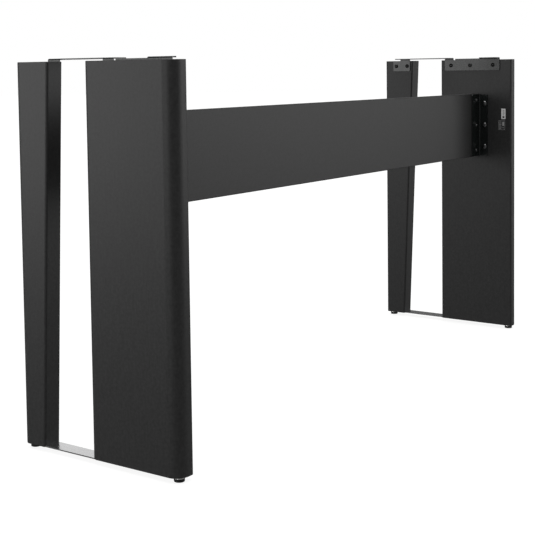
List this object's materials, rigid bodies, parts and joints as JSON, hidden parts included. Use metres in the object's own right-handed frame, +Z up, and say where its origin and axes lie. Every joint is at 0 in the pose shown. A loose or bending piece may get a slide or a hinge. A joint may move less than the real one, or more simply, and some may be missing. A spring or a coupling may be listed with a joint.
{
  "type": "keyboard stand",
  "caption": "Open stand for a digital piano: each side pairs a slim tapered front leg with a wide rear panel under a bent steel strap; a back board ties the sides; levelling feet.",
  "frame": {"origin": "on the floor, at the centre of the outline seen from above", "axes": "+X to the player's right, +Y from the player towards the rear, +Z up"},
  "size_m": [1.25, 0.326, 0.631],
  "materials": {
    "black_laminate": "matt black foil with a fine grain",
    "black_steel": "semi-gloss black paint",
    "satin_steel": "polished flat bar with faint lengthwise brushing",
    "black_fasteners": "black oxide",
    "zinc_plate": "slightly dull zinc plate",
    "foot_plastic": "matt black moulding",
    "white_label": "white paper sticker",
    "grey_label": "dark foil sticker with grey bars"
  },
  "bodies": {
    "frame": {"back_board": "black_laminate", "grey_label": "grey_label", "left_board_bracket": "black_steel", "left_board_flange_screws": "black_fasteners", "left_bottom_plate": "satin_steel", "left_bottom_plate_screws": "zinc_plate", "left_front_foot_insert": "zinc_plate", "left_front_leg": "black_laminate", "left_leg_bracket_screws": "black_fasteners", "left_panel_bracket_screws": "black_fasteners", "left_panel_flange_bolts": "black_fasteners", "left_panel_flange_inserts": "zinc_plate", "left_rear_foot_insert": "zinc_plate", "left_rear_panel": "black_laminate", "left_top_bracket": "black_steel", "right_board_bracket": "black_steel", "right_board_flange_screws": "black_fasteners", "right_bottom_plate": "satin_steel", "right_bottom_plate_screws": "zinc_plate", "right_front_foot_insert": "zinc_plate", "right_front_leg": "black_laminate", "right_leg_bracket_screws": "black_fasteners", "right_panel_bracket_screws": "black_fasteners", "right_panel_flange_bolts": "black_fasteners", "right_panel_flange_inserts": "zinc_plate", "right_rear_foot_insert": "zinc_plate", "right_rear_panel": "black_laminate", "right_top_bracket": "black_steel", "white_label": "white_label"},
    "left_front_foot": {"left_front_foot_pad": "foot_plastic", "left_front_foot_stud": "zinc_plate"},
    "left_rear_foot": {"left_rear_foot_pad": "foot_plastic", "left_rear_foot_stud": "zinc_plate"},
    "right_front_foot": {"right_front_foot_pad": "foot_plastic", "right_front_foot_stud": "zinc_plate"},
    "right_rear_foot": {"right_rear_foot_pad": "foot_plastic", "right_rear_foot_stud": "zinc_plate"}
  },
  "joints": [
    {"name": "left_front_foot_height", "type": "slide", "parent": "frame", "child": "left_front_foot", "axis": [0, 0, -1], "range_m": [0, 0.01]},
    {"name": "left_rear_foot_height", "type": "slide", "parent": "frame", "child": "left_rear_foot", "axis": [0, 0, -1], "range_m": [0, 0.01]},
    {"name": "right_front_foot_height", "type": "slide", "parent": "frame", "child": "right_front_foot", "axis": [0, 0, -1], "range_m": [0, 0.01]},
    {"name": "right_rear_foot_height", "type": "slide", "parent": "frame", "child": "right_rear_foot", "axis": [0, 0, -1], "range_m": [0, 0.01]}
  ]
}
